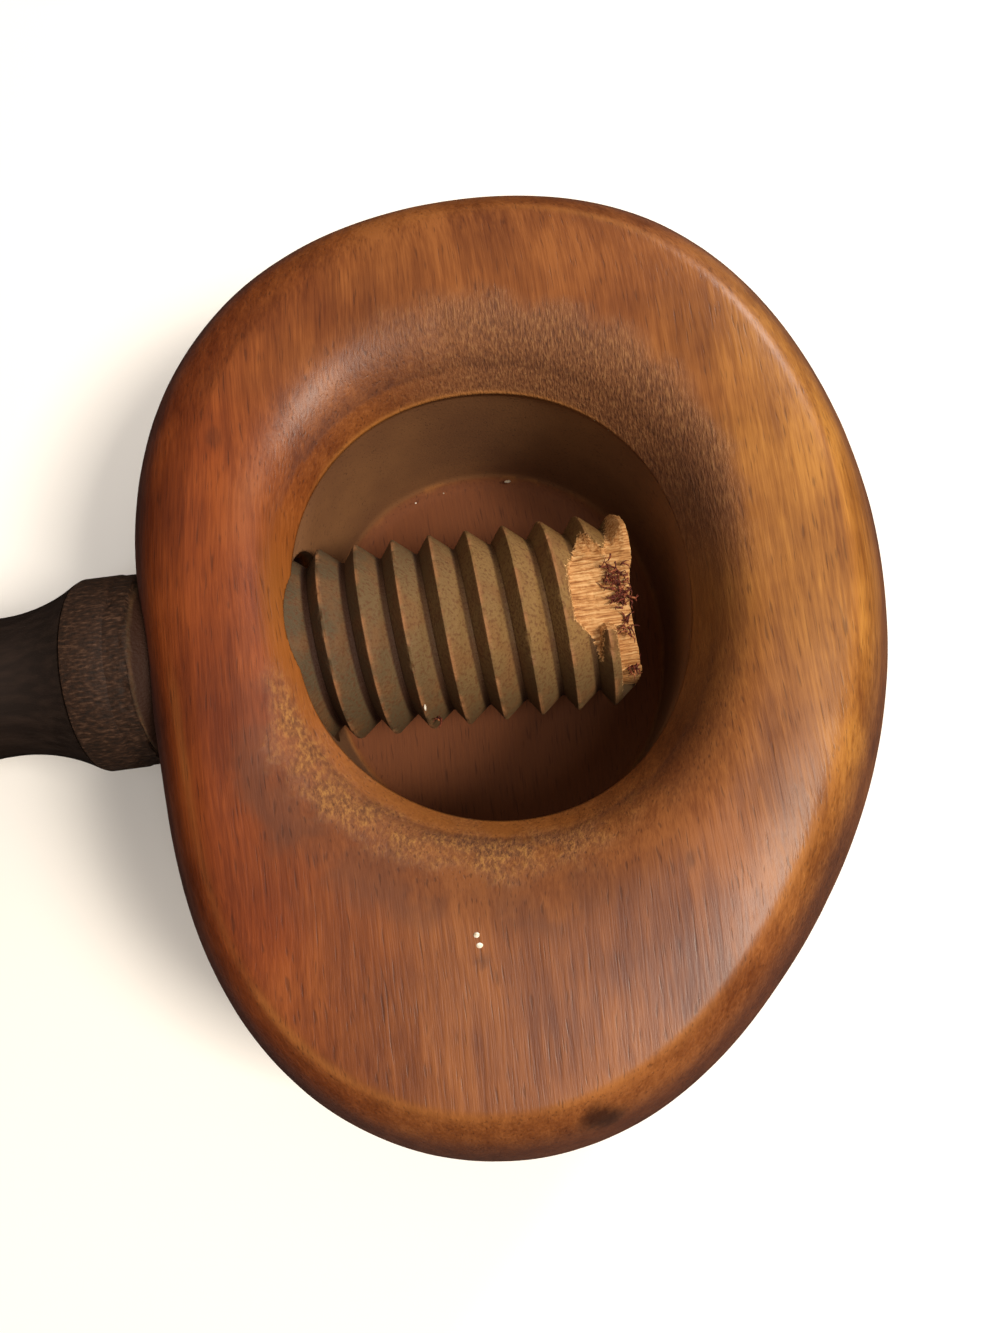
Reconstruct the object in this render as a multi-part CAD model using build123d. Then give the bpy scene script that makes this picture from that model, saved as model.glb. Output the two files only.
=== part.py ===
from build123d import *
import math
import os

# A wooden screw nutcracker: a pebble-shaped block with a well for the nut, and a wooden
# screw that is turned by hand through the block's wall to press the nut on the far side.
# Millimetres. The origin is on the underside, straight below the middle of the screw's
# stretch of the well. +Z is up, +X runs along the screw from its handle to its tip.

# ---- Heights, from the underside up ----
floor_thickness = 11.8
floor_to_axis = 18.2
axis_to_top = 17.0
girth_drop = 4.0

# ---- Block: its outline is hand shaped, so it is a reach for every 30 degrees from +X ----
girth_reaches = [51.4, 55.4, 61.1, 60.2, 58.7, 51.2, 44.7, 49.0, 60.5, 64.5, 57.0, 51.9]
brow_insets = [8.9, 9.9, 11.0, 10.1, 11.3, 9.5, 7.3, 7.9, 7.6, 8.3, 8.7, 8.9]
base_inset = 12.0
# the sides are quarter ellipses that would only turn level this far above the top face and
# below the underside, which cut them off
top_overrun = 3.0
base_overrun = 2.5
brow_round = 2.0
base_round = 2.5
slices_above = 4
slices_below = 3

# ---- Well: bored, then pared by hand to an uneven oval, so it too is a reach every 30 degrees ----
well_reaches = [24.7, 26.3, 27.8, 28.0, 27.6, 25.4, 23.5, 24.4, 25.3, 26.2, 26.3, 25.1]
lip_round = 7.2
wall_relief = 0.35

# ---- Thread: single start, right hand, its tip-side flank the flatter one ----
crest_radius = 12.5
thread_depth = 2.15
thread_pitch = 4.75
crest_flat = 0.3
root_flat = 0.3
tip_flank_share = 0.63
# a crest passes the screw's +Y side this far from the well's middle
crest_position = 2.75
thread_gap = 0.3
# the ridge's flanks cross the core's surface and run in by a hair, then drop to its foot
ridge_sink = 0.07
ridge_foot = 0.9

# ---- Screw: collar, thread and broken tip ----
collar_step = 0.05
collar_length = 5.7
collar_gap = 0.3
collar_edge = 0.5
nut_gap = 6.8
# the patch where the thread is torn off, seen from above: how far back from the tip, and how
# far across towards +Y; it runs on round the near side of the screw
break_depth = 0.75
break_outline = [(5.5, 9), (8.0, 2.5), (8.0, -4), (5.1, -6.5), (3.5, -6)]
break_end = 2.7

# ---- Handle: a waisted neck that swells into a palm grip ----
shoulder_step = 0.25
waist_radius = 9.0
neck_length = 11.5
grip_radius = 17.0
swell_length = 30.0
grip_nose = 28.0

# ---- Tenon: the round pin that joins screw and handle ----
tenon_radius = 5.0
tenon_depth = 12.0
tenon_gap = 0.05
tenon_end_gap = 0.5

# ---- Sizes that follow ----
axis_height = floor_thickness + floor_to_axis
block_height = axis_height + axis_to_top
girth_height = axis_height - girth_drop
root_radius = crest_radius - thread_depth
flank_room = thread_pitch - crest_flat - root_flat
tip_run = flank_room * tip_flank_share
handle_run = flank_room - tip_run
tip_position = well_reaches[0] - nut_gap
collar_radius = crest_radius + collar_step
bore_radius = tenon_radius + tenon_gap
bore_depth = tenon_depth + tenon_end_gap
# how far a cutting tool runs on past the face that it cuts
overcut = 1.0


def inset_share(height):
    """How far the side has curved in at a height: 0 at the girth, 1 at the top or underside."""
    if height >= girth_height:
        rise, full, overrun = height - girth_height, block_height - girth_height, top_overrun
    else:
        rise, full, overrun = girth_height - height, girth_height, base_overrun
    curve = full + overrun
    return (1 - math.sqrt(1 - (rise / curve) ** 2)) / (1 - math.sqrt(1 - (full / curve) ** 2))


def outline(reaches):
    """A smooth closed outline with the given reaches, evenly spaced round the centre from +X."""
    turn = 2 * math.pi / len(reaches)
    points = [(r * math.cos(i * turn), r * math.sin(i * turn)) for i, r in enumerate(reaches)]
    return make_face(Spline(points, periodic=True))


def block_slice(height):
    """The block's level section at a height, as a face."""
    share = inset_share(height)
    insets = brow_insets if height >= girth_height else [base_inset] * len(girth_reaches)
    reaches = [girth - inset * share for girth, inset in zip(girth_reaches, insets)]
    return Plane.XY.offset(height) * outline(reaches)


def block_body():
    """The solid block, before it is bored."""
    below = [girth_height * i / slices_below for i in range(slices_below)]
    above_step = (block_height - girth_height) / slices_above
    above = [girth_height + above_step * i for i in range(slices_above + 1)]
    body = loft([block_slice(height) for height in below + above])
    body = fillet(body.faces().sort_by(Axis.Z)[-1].edges(), brow_round)
    return fillet(body.faces().sort_by(Axis.Z)[0].edges(), base_round)


def plug(grow, top):
    """A plug of the well's shape from its floor up, grown all round by an amount."""
    face = outline([reach + grow for reach in well_reaches])
    return Pos(0, 0, floor_thickness) * extrude(face, top - floor_thickness)


def hollow_out(body):
    """Bores the well, rounds its lip, and relieves the wall below the lip by a shaving."""
    bored = body - plug(0, block_height + overcut)
    mouth = bored.faces().sort_by(Axis.Z)[-1].inner_wires()[0].edges()
    return fillet(mouth, lip_round) - plug(wall_relief, block_height - lip_round)


# ---- Turned work is drawn along Z, then laid over so that Z becomes the screw's +X ----
screw_line = Plane(origin=(0, 0, axis_height), x_dir=(0, 1, 0), z_dir=(1, 0, 0))


def laid_over(shape):
    return screw_line.location * shape


def rod(radius, start, end):
    """A round rod on the turning axis."""
    return Pos(0, 0, start) * extrude(Circle(radius), end - start)


def flank_reach(run, radius, gap):
    """Half the ridge's width, on one flank, at a radius, with the flank moved out by a gap."""
    slope = run / thread_depth
    return crest_flat / 2 + (crest_radius - radius) * slope + gap * math.hypot(slope, 1)


def ridge_root(gap):
    """The radius where neighbouring ridges stand a root flat apart."""
    widening = gap * (math.hypot(tip_run / thread_depth, 1) + math.hypot(handle_run / thread_depth, 1))
    return root_radius + widening * thread_depth / (tip_run + handle_run)


def ridge(gap, start, turns):
    """The thread's ridge as a solid, grown by a gap, with its foot sunk into the core."""
    root, crest = ridge_root(gap), crest_radius + gap
    sunk, foot = root - ridge_sink, root - ridge_foot
    ahead_sunk, ahead_crest = (flank_reach(tip_run, r, gap) for r in (sunk, crest))
    behind_sunk, behind_crest = (flank_reach(handle_run, r, gap) for r in (sunk, crest))
    section = make_face(Polyline(
        (foot, -behind_sunk), (sunk, -behind_sunk), (crest, -behind_crest),
        (crest, ahead_crest), (sunk, ahead_sunk), (foot, ahead_sunk), close=True,
    ))
    path = Helix(thread_pitch, thread_pitch * turns, root)
    return Pos(0, 0, start) * sweep(Plane.XZ * section, path, is_frenet=True)


def turns_over(length):
    """The whole number of turns that covers a length."""
    return math.ceil(length / thread_pitch)


# ---- Block ----
body = block_body()
wall_face = body.bounding_box().min.X
# the tapped hole's ridge starts outside the wall and runs on past the well's wall
hole_start = crest_position - thread_pitch * (turns_over(crest_position - wall_face) + 2)
hole_turns = turns_over(-min(well_reaches) - hole_start) + 2
hole_end = hole_start + thread_pitch * hole_turns
drill = rod(ridge_root(thread_gap), hole_start - thread_pitch, hole_end + thread_pitch)
block = hollow_out(body) - laid_over(drill + ridge(thread_gap, hole_start, hole_turns))

# ---- Screw ----
collar_face = wall_face - collar_gap
shoulder = collar_face - collar_length
collar = rod(collar_radius, shoulder, collar_face)
collar = chamfer(collar.edges().filter_by(GeomType.CIRCLE), collar_edge)
# the ridge starts inside the collar and is cut off square at the tip
ridge_start = crest_position - thread_pitch * turns_over(crest_position - collar_face)
ridge_turns = turns_over(tip_position - ridge_start) + 1
length_kept = rod(crest_radius + overcut, shoulder + collar_edge, tip_position)
core = rod(root_radius, shoulder + collar_edge, tip_position)
thread = ridge(0, ridge_start, ridge_turns) & length_kept
socket = rod(bore_radius, shoulder, shoulder + bore_depth)
screw = laid_over(collar + core + thread - socket)

# ---- Screw's torn patch ----
past_side, past_tip = crest_radius + overcut, tip_position + overcut
torn_plan = [(tip_position - back, across) for back, across in break_outline]
torn_plan += [(tip_position - break_end, -past_side), (past_tip, -past_side), (past_tip, torn_plan[0][1])]
torn = extrude(Plane.XY.offset(axis_height) * make_face(Polyline(*torn_plan, close=True)), past_side)
heartwood = rod(root_radius - break_depth, 0, past_tip + overcut)
screw = screw - (torn - laid_over(heartwood))

# ---- Handle ----
waist = shoulder - neck_length
swell = waist - swell_length
nose = swell - grip_nose
bore_end = shoulder - bore_depth
shoulder_radius = collar_radius - shoulder_step
profile = (
    Polyline((0, bore_end), (bore_radius, bore_end), (bore_radius, shoulder), (shoulder_radius, shoulder))
    + TangentArc((waist_radius, waist), (shoulder_radius, shoulder), tangent=(0, 1))
    + Spline((waist_radius, waist), (grip_radius, swell), tangents=[(0, -1), (0, -1)])
    + Spline((grip_radius, swell), (0, nose), tangents=[(0, -1), (-1, 0)])
    + Line((0, nose), (0, bore_end))
)
handle = laid_over(revolve(Plane.XZ * make_face(profile), Axis.Z))

# ---- Tenon ----
tenon = laid_over(rod(tenon_radius, shoulder - tenon_depth, shoulder + tenon_depth))

os.makedirs("parts", exist_ok=True)
for name, piece in {"block": block, "screw": screw, "handle": handle, "tenon": tenon}.items():
    export_step(piece, f"parts/{name}.step")
    box = piece.bounding_box()
    print(name, "solids", len(piece.solids()), "volume", round(piece.volume), box.min, box.max)
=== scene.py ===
import math
import random

import bmesh
import bpy
import numpy as np
from mathutils import Matrix, Vector, noise


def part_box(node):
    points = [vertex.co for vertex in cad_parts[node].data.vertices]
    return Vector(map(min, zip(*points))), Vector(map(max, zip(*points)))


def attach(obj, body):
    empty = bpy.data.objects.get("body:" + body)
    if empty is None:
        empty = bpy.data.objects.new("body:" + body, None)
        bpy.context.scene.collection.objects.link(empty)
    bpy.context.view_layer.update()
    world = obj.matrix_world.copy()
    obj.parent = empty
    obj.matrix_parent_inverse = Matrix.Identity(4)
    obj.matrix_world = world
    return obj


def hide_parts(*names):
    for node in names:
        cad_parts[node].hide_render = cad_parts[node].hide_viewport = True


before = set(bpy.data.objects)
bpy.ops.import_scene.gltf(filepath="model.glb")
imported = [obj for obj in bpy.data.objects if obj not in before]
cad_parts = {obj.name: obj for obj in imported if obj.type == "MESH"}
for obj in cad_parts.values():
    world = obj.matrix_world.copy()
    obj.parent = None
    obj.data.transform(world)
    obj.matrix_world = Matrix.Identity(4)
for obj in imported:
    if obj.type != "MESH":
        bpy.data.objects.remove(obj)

bl_info = {
    "name": "Wooden screw nutcracker",
    "version": (1, 0, 0),
    "blender": (4, 5, 0),
    "location": "View3D > Sidebar > Nutcracker",
    "description": "Dresses a hand-turned wooden screw nutcracker in its worn wood",
    "category": "Object",
}

MM = 0.001
# the masks that the two big pieces carry from their meshes to their materials
BLOCK_MASKS = ("red", "gold", "dusk", "bare", "worn", "fuzz", "shade", "edge", "side", "wall",
               "floor", "stain")
SCREW_MASKS = ("torn", "clean", "groove", "crest", "collar")


def linear(colour):
    """An sRGB hex colour as linear RGBA."""
    channels = [int(colour[i:i + 2], 16) / 255 for i in (1, 3, 5)]
    return (*[c / 12.92 if c <= 0.04045 else ((c + 0.055) / 1.055) ** 2.4 for c in channels], 1.0)


def colour_property(name, description, colour):
    return bpy.props.FloatVectorProperty(
        name=name, description=description, subtype="COLOR", size=4, min=0, max=1,
        default=linear(colour))


def length_property(name, description, millimetres):
    return bpy.props.FloatProperty(
        name=name, description=description, unit="LENGTH", precision=4, default=millimetres * MM)


def power_property(name, description, watts):
    return bpy.props.FloatProperty(
        name=name, description=description, unit="POWER", default=watts)


# ---- sizes and colours

class BlockLooks(bpy.types.PropertyGroup):
    girth_height: length_property("Girth height", "Height at which the block is widest", 26)
    lip_drop: length_property("Lip drop", "How far the rounded lip runs down into the well", 7.6)
    ledge: length_property("Ledge", "Step between the lip and the bored wall", 0.35)
    crown: length_property("Crown", "How far the top face falls away towards its edge", 1.0)
    varnish: colour_property("Varnished wood", "Light tone of the varnished hardwood", "#885024")
    red_side: colour_property("Redder side", "Light tone at the screw's side", "#813C12")
    gold_side: colour_property("Golden side", "Light tone where varnish is thin", "#A46E2C")
    worn: colour_property("Worn lip", "Where handling took the varnish off the lip", "#9A6C38")
    fuzz: colour_property("Raised fibres", "Tips of the fibres that stand up on the lip", "#946A42")
    well_wall: colour_property("Well wall", "Bare bored wood, greyed", "#8C6038")
    well_floor: colour_property("Well floor", "Bare wood of the well's floor", "#754223")


class ScrewLooks(bpy.types.PropertyGroup):
    crest_radius: length_property("Crest radius", "Outside radius of the thread", 12.5)
    thread_depth: length_property("Thread depth", "From crest to root", 2.15)
    pitch: length_property("Pitch", "Travel for one turn", 4.75)
    crest_position: length_property("Crest position", "Where a crest passes the +Y side", 2.75)
    torn_radius: length_property("Torn radius", "Radius of the raw wood in the break", 10.25)
    flank: colour_property("Flank", "Wood of the thread, handled to an even brown", "#7A5C34")
    grimy_flank: colour_property("Grimy flank", "The same wood near the wall, greyer", "#4C3E2B")
    # painted shade: the colour of the shade behind the crests and of the shadow in the roots
    groove: colour_property("Groove", "Dirt behind the crests and in the root", "#2C180E")
    crest: colour_property("Crest", "Wood rubbed clean on the crests", "#A06E48")
    raw: colour_property("Raw wood", "Clean wood of the break", "#AE7C4A")
    crumb: colour_property("Crumbs", "Dark red splinters in the break", "#461A0F")
    collar: colour_property("Collar", "Old dirt and stain on the collar", "#2C1B11")


class HandleLooks(bpy.types.PropertyGroup):
    stain: colour_property("Stain", "Black-brown stain of the handle", "#19100C")
    rubbed: colour_property("Rubbed stain", "Where the palm rubs the stain thin", "#261A14")
    tenon: colour_property("Tenon", "Bare wood of the pin", "#B98A54")


class StageLooks(bpy.types.PropertyGroup):
    floor: colour_property("Floor", "Plain pale floor", "#F4F2EF")
    key_power: power_property("Key power", "Soft light from the right", 15)
    window_power: power_property("Window power", "Low soft light from the far right", 5.5)
    fill_power: power_property("Fill power", "Weak soft light from the near right", 3)
    sky: bpy.props.FloatProperty(
        name="Sky", description="Strength of the light straight overhead", min=0, default=0.62)


# ---- meshes

def smooth_step(low, high, value):
    t = np.clip((value - low) / (high - low), 0, 1)
    return t * t * (3 - 2 * t)


def periodic_spline(values, turns):
    """A smooth closed curve through evenly spaced values, read at the given shares of a turn."""
    values = np.asarray(values, float)
    n = len(values)
    system = 4 * np.eye(n) + np.roll(np.eye(n), 1, 0) + np.roll(np.eye(n), -1, 0)
    bend = np.linalg.solve(system, 6 * (np.roll(values, -1) - 2 * values + np.roll(values, 1)))
    place = (np.asarray(turns, float) % 1) * n
    i = np.floor(place).astype(int) % n
    t = place - np.floor(place)
    j = (i + 1) % n
    return ((1 - t) * values[i] + t * values[j]
            + ((1 - t) ** 3 - (1 - t)) * bend[i] / 6 + (t ** 3 - t) * bend[j] / 6)


def rippled(points, size, seed=0.0, octaves=3):
    """Smooth noise from -1 to 1 at each point, its ripples about a size in millimetres."""
    step = Vector((seed, seed * 1.7, -seed))
    return np.array([noise.fractal(Vector(p) / (size * MM) + step, 0.7, 2.1, octaves)
                     for p in points])


def woven_grid(around, along, place):
    """A bmesh grid laid over a shape: place turns the shares round and along into points."""
    shape = bmesh.new()
    bmesh.ops.create_grid(shape, x_segments=around, y_segments=along, size=0.5)
    shares = np.array([v.co[:2] for v in shape.verts]) + 0.5
    for v, point in zip(shape.verts, place(shares[:, 0], shares[:, 1])):
        v.co = point
    bmesh.ops.remove_doubles(shape, verts=shape.verts, dist=0.001 * MM)
    bmesh.ops.recalc_face_normals(shape, faces=shape.faces)
    return shape


def paint(mesh, masks):
    """Stores on a mesh the masks that a function works out from its points."""
    points = np.zeros(len(mesh.vertices) * 3, np.float32)
    mesh.vertices.foreach_get("co", points)
    for mask, values in masks(points.reshape(-1, 3).astype(float)).items():
        layer = mesh.attributes.new(mask, "FLOAT", "POINT")
        layer.data.foreach_set("value", np.asarray(values, np.float32))


def as_object(shape, name):
    """The object made of a bmesh, linked into the scene."""
    mesh = bpy.data.meshes.new(name)
    shape.to_mesh(mesh)
    shape.free()
    made = bpy.data.objects.new(name, mesh)
    bpy.context.scene.collection.objects.link(made)
    return made


def finished(shape, name, material, body, masks=None):
    """The piece made of a bmesh, smooth, in its material, riding on its body."""
    piece = as_object(shape, name)
    piece.data.shade_smooth()
    piece.data.materials.append(material)
    if masks:
        paint(piece.data, masks)
    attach(piece, body)
    return piece


# ---- materials

def add(tree, kind, links=None, out=None, stops=(), **settings):
    """Adds a node with its settings, colour stops and inputs, and gives back one of its outputs.

    An input is a value or another node's output; unnamed, the output is the first in use."""
    made = tree.nodes.new(kind)
    for name, value in settings.items():
        setattr(made, name, value)
    for i, (position, colour) in enumerate(stops):
        marks = made.color_ramp.elements
        mark = marks[i] if i < len(marks) else marks.new(position)
        mark.position, mark.color = position, colour
    for name, value in (links or {}).items():
        socket = made.inputs[name]
        if isinstance(value, bpy.types.NodeSocket):
            tree.links.new(value, socket)
        else:
            socket.default_value = value
    if out:
        return made.outputs[out]
    return next((socket for socket in made.outputs if socket.enabled), None)


def new_material(draw, *looks):
    """A new material, named after the function that draws its surface."""
    material = bpy.data.materials.new(draw.__name__)
    material.use_nodes = True
    tree = material.node_tree
    tree.nodes.clear()
    place = add(tree, "ShaderNodeTexCoord", out="Object")
    add(tree, "ShaderNodeOutputMaterial", {"Surface": draw(tree, place, *looks)})
    return material


def varnished_hardwood(tree, place, looks):
    """Varnished fruitwood, sawn with the grain along Y, pared and scraped by hand.

    The eye sees fine streaks and short dark pores along Y, a redder left and a golden right,
    and bare end grain that stands up in a fuzz where the lip cuts across the grain."""
    masks = {name: add(tree, "ShaderNodeAttribute", out="Fac", attribute_name=name)
             for name in BLOCK_MASKS}
    # the grain wanders about 2 mm to either side, in waves about 50 mm long
    sway = add(tree, "ShaderNodeTexNoise", {"Vector": place, "Scale": 20.0, "Detail": 1.0},
               out="Color")
    sway = add(tree, "ShaderNodeVectorMath", {0: sway, "Scale": 0.006}, operation="SCALE")
    bent = add(tree, "ShaderNodeVectorMath", {0: place, 1: sway}, operation="ADD")
    noises = []
    for stretch, detail, roughness in (
            ((2900, 145, 2900), 3.0, 0.6),  # fibres about 0.35 mm wide and 7 mm long
            ((600, 30, 600), 3.0, 0.5),  # streaks about 1.7 mm wide and 33 mm long
            ((85, 85, 85), 3.0, 0.5),  # clouds about 12 mm across
            ((4000, 330, 4000), 0.0, 0.5),  # pores about 0.25 mm wide and 3 mm long
            ((620, 16, 620), 2.0, 0.5),  # veins at most 1.6 mm wide and 60 mm long
            ((4200, 800, 1800), 3.0, 0.6)):  # torn fibres about 0.25 mm wide and 1.2 mm long
        drawn = add(tree, "ShaderNodeMapping", {"Vector": bent, "Scale": stretch})
        noises.append(add(tree, "ShaderNodeTexNoise", {
            "Vector": drawn, "Scale": 1.0, "Detail": detail, "Roughness": roughness}))
    fibres, streaks, clouds, pores, veins, hairs = noises
    pores = add(tree, "ShaderNodeMapRange", {
        "Value": pores, "From Min": 0.67, "From Max": 0.8, "To Max": 0.42})
    # only the golden side has veins
    veins = add(tree, "ShaderNodeMapRange", {
        "Value": veins, "From Min": 0.57, "From Max": 0.72, "To Max": 0.5})
    veins = add(tree, "ShaderNodeMath", {0: veins, 1: masks["gold"]}, operation="MULTIPLY")
    tone = add(tree, "ShaderNodeMath", {0: fibres, 1: 0.34}, operation="MULTIPLY")
    for part, share in ((streaks, 0.26), (clouds, 0.4)):
        tone = add(tree, "ShaderNodeMath", {0: part, 1: share, 2: tone},
                   operation="MULTIPLY_ADD")
    grain = add(tree, "ShaderNodeValToRGB", {"Fac": tone}, stops=(
        (0.38, linear("#B09C90")), (0.5, linear("#DCD2CA")), (0.6, linear("#FFFFFF"))))
    # short strokes of the scraped zone, about 0.4 mm wide and 0.9 mm long, read from a turned
    # slice of the noise so that they never fall in with the torn fibres
    strokes = add(tree, "ShaderNodeMapping", {
        "Vector": place, "Rotation": (0, 0, math.radians(-35)), "Scale": (2300, 1100, 1500)})
    strokes = add(tree, "ShaderNodeTexNoise", {
        "Vector": strokes, "Scale": 1.0, "Detail": 3.0, "Roughness": 0.65})
    worn = add(tree, "ShaderNodeValToRGB", {"Fac": strokes}, stops=(
        (0.37, linear("#5E3C24")), (0.5, linear("#7A4F2C")), (0.63, looks.worn)))
    fuzz = add(tree, "ShaderNodeValToRGB", {"Fac": hairs}, stops=(
        (0.34, linear("#50301D")), (0.52, linear("#744A2C")), (0.7, looks.fuzz)))
    wall = add(tree, "ShaderNodeMix", {
        "Factor": clouds, "A": linear("#5C3822"), "B": looks.well_wall}, data_type="RGBA")
    bottom = add(tree, "ShaderNodeMix", {
        "Factor": fibres, "A": linear("#5A3018"), "B": looks.well_floor}, data_type="RGBA")
    # the varnish is laid up in layers, each with how far it covers
    layers = [(masks["red"], looks.red_side, "MIX"), (masks["gold"], looks.gold_side, "MIX"),
              (1.0, grain, "MULTIPLY")]
    # of these, edge is a light line that is partly painted highlight, along the mouth's far edge
    # and the brow, and partly worn wood and dust; shade is painted shade on the lip's right side
    for mask, share, colour in (
            ("dusk", 0.62, linear("#54301F")), ("bare", 0.6, linear("#8E5622")),
            ("worn", 0.85, worn), ("fuzz", 0.78, fuzz), ("shade", 0.5, linear("#3E1E10")),
            ("wall", 1.0, wall), ("floor", 1.0, bottom), ("edge", 0.55, linear("#B07438")),
            ("stain", 0.85, linear("#2A130C"))):
        amount = add(tree, "ShaderNodeMath", {0: masks[mask], 1: share}, operation="MULTIPLY")
        layers.append((amount, colour, "MIX"))
    # hands leave the sides darker and duller than the top
    layers += [(pores, linear("#2A1209"), "MIX"), (veins, linear("#5A2C12"), "MIX"),
               (masks["side"], linear("#A08868"), "MULTIPLY")]
    wood = looks.varnish
    for amount, colour, blend in layers:
        wood = add(tree, "ShaderNodeMix", {"Factor": amount, "A": wood, "B": colour},
                   data_type="RGBA", blend_type=blend)
    rough = add(tree, "ShaderNodeMath", {0: masks["fuzz"], 1: 0.7}, operation="MULTIPLY")
    for mask in ("worn", "wall", "floor", "side"):
        rough = add(tree, "ShaderNodeMath", {0: rough, 1: masks[mask]}, operation="MAXIMUM")
    gloss = add(tree, "ShaderNodeMapRange", {"Value": rough, "To Min": 0.34, "To Max": 0.8})
    gloss = add(tree, "ShaderNodeMath", {0: fibres, 1: 0.12, 2: gloss}, operation="MULTIPLY_ADD")
    relief = add(tree, "ShaderNodeMath", {0: fibres, 1: 0.2}, operation="MULTIPLY")
    for height, amount in ((pores, -0.12), (hairs, masks["fuzz"]), (strokes, masks["worn"])):
        relief = add(tree, "ShaderNodeMath", {0: height, 1: amount, 2: relief},
                     operation="MULTIPLY_ADD")
    bump = add(tree, "ShaderNodeBump", {"Height": relief, "Distance": 0.0004, "Strength": 0.6})
    return add(tree, "ShaderNodeBsdfPrincipled", {
        "Base Color": wood, "Roughness": gloss, "Normal": bump, "IOR": 1.5,
        "Specular IOR Level": 0.33})


def handled_screw_wood(tree, place, looks):
    """Bare turned hardwood, cut with a thread box and browned by years of hands and nut oil.

    The eye sees an even brown with fine reddish pores, painted shade behind each crest and painted
    shadow in each root, a dark rough collar, and clean pale fibres where the tip broke away."""
    masks = {name: add(tree, "ShaderNodeAttribute", out="Fac", attribute_name=name)
             for name in SCREW_MASKS}
    # fibres run along the screw, about 0.25 mm wide and 3 mm long
    along = add(tree, "ShaderNodeMapping", {"Vector": place, "Scale": (340, 4000, 4000)})
    fibres = add(tree, "ShaderNodeTexNoise", {"Vector": along, "Scale": 1.0, "Detail": 3.0})
    # pores about 0.4 mm across, dirt clouds about 4 mm across
    speckle = add(tree, "ShaderNodeTexNoise", {"Vector": place, "Scale": 2400.0, "Detail": 2.0})
    clouds = add(tree, "ShaderNodeTexNoise", {"Vector": place, "Scale": 260.0, "Detail": 3.0})
    red, patches, nicks = (
        add(tree, "ShaderNodeMapRange", {
            "Value": part, "From Min": low, "From Max": low + 0.16, "To Max": most})
        for part, low, most in ((speckle, 0.5, 0.6), (clouds, 0.48, 0.5), (clouds, 0.42, 0.5)))
    nicks = add(tree, "ShaderNodeMath", {0: nicks, 1: masks["crest"]}, operation="MULTIPLY")
    # strokes of old dirt on the collar, about 0.3 mm wide and 0.9 mm long
    dashes = add(tree, "ShaderNodeMapping", {"Vector": place, "Scale": (1100, 3000, 3000)})
    dashes = add(tree, "ShaderNodeTexNoise", {"Vector": dashes, "Scale": 1.0, "Detail": 3.0})
    collar = add(tree, "ShaderNodeValToRGB", {"Fac": dashes}, stops=(
        (0.34, linear("#1C120C")), (0.54, looks.collar), (0.74, linear("#4A3426"))))
    raw = add(tree, "ShaderNodeValToRGB", {"Fac": fibres}, stops=(
        (0.34, linear("#84542C")), (0.5, looks.raw), (0.66, linear("#C89E6C"))))
    # the break's edge is ragged by about 0.3 mm along the fibres
    ragged = add(tree, "ShaderNodeMath", {0: fibres, 1: 0.5}, operation="SUBTRACT")
    ragged = add(tree, "ShaderNodeMath", {0: ragged, 1: 1.6, 2: masks["torn"]},
                 operation="MULTIPLY_ADD")
    broken = add(tree, "ShaderNodeMapRange", {
        "Value": ragged, "From Min": -0.06, "From Max": 0.06})
    wood = looks.grimy_flank
    # the dark thread colour laid after the pores is painted shade behind the crests and painted
    # shadow in the roots and at the hole's mouth
    for amount, colour in (
            (masks["clean"], looks.flank), (patches, linear("#6A4526")),
            (red, linear("#52301A")), (masks["groove"], looks.groove), (nicks, looks.crest),
            (masks["collar"], collar), (broken, raw)):
        wood = add(tree, "ShaderNodeMix", {"Factor": amount, "A": wood, "B": colour},
                   data_type="RGBA")
    relief = add(tree, "ShaderNodeMath", {0: fibres, 1: speckle}, operation="ADD")
    relief = add(tree, "ShaderNodeMath", {0: dashes, 1: masks["collar"], 2: relief},
                 operation="MULTIPLY_ADD")
    bump = add(tree, "ShaderNodeBump", {"Height": relief, "Distance": 0.0002, "Strength": 0.5})
    return add(tree, "ShaderNodeBsdfPrincipled", {
        "Base Color": wood, "Roughness": 0.68, "Normal": bump, "IOR": 1.5,
        "Specular IOR Level": 0.18})


def stained_handle_wood(tree, place, looks):
    """Turned hardwood, stained black-brown and dulled by the palm; hardly any grain shows."""
    # streaks about 1 mm wide and 17 mm long
    along = add(tree, "ShaderNodeMapping", {"Vector": place, "Scale": (60, 1000, 1000)})
    grain = add(tree, "ShaderNodeTexNoise", {"Vector": along, "Scale": 1.0, "Detail": 4.0})
    wood = add(tree, "ShaderNodeValToRGB", {"Fac": grain}, stops=(
        (0.4, looks.stain), (0.75, looks.rubbed)))
    gloss = add(tree, "ShaderNodeMapRange", {"Value": grain, "To Min": 0.45, "To Max": 0.62})
    bump = add(tree, "ShaderNodeBump", {"Height": grain, "Distance": 0.0002, "Strength": 0.3})
    return add(tree, "ShaderNodeBsdfPrincipled", {
        "Base Color": wood, "Roughness": gloss, "Normal": bump, "IOR": 1.5,
        "Specular IOR Level": 0.25})


def bare_dowel_wood(tree, place, looks):
    """Planed dowel, left bare inside the joint: pale, with straight fibres."""
    # fibres about 0.7 mm wide and 11 mm long
    along = add(tree, "ShaderNodeMapping", {"Vector": place, "Scale": (90, 1500, 1500)})
    grain = add(tree, "ShaderNodeTexNoise", {"Vector": along, "Scale": 1.0, "Detail": 3.0})
    wood = add(tree, "ShaderNodeValToRGB", {"Fac": grain}, stops=(
        (0.4, linear("#8A6238")), (0.6, looks.tenon)))
    bump = add(tree, "ShaderNodeBump", {"Height": grain, "Distance": 0.0001, "Strength": 0.3})
    return add(tree, "ShaderNodeBsdfPrincipled", {
        "Base Color": wood, "Roughness": 0.7, "Normal": bump, "IOR": 1.5})


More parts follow.
